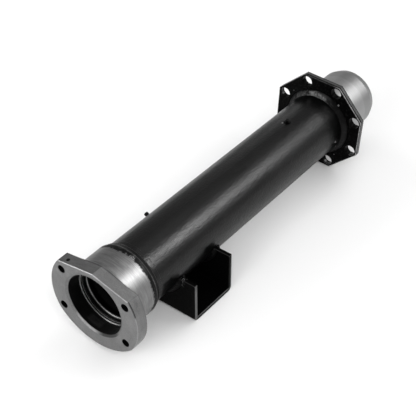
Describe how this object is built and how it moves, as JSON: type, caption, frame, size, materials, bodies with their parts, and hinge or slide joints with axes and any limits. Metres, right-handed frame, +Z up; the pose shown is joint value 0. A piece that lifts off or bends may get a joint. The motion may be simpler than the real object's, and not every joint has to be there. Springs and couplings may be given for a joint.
{
  "type": "differential axle tube housing",
  "caption": "Welded steel axle tube housing with a machined bearing and brake flange, an octagonal differential flange, a turned pilot and a spring perch.",
  "frame": {"origin": "centre of the wheel bearing bore on the brake flange's face", "axes": "+X along the tube's axis from the brake face to the pilot's tip, +Z up, square to the brake flange's bolt rectangle and away from the spring perch, +Y across"},
  "size_m": [0.4878, 0.1193, 0.1235],
  "materials": {
    "black_paint": "semi-gloss",
    "machined_steel": "brushed",
    "painted_weld": "semi-gloss"
  },
  "bodies": {
    "root": {"axle_tube": "black_paint", "wheel_end_housing": "machined_steel", "differential_flange": "black_paint", "spring_perch": "black_paint", "collar_weld": "painted_weld", "flange_weld": "painted_weld", "perch_weld_wheel_outside": "painted_weld", "perch_weld_wheel_inside": "painted_weld", "perch_weld_case_inside": "painted_weld", "perch_weld_case_outside": "painted_weld", "clip_stud_wheel_end": "black_paint", "clip_stud_case_end": "black_paint"}
  },
  "joints": []
}
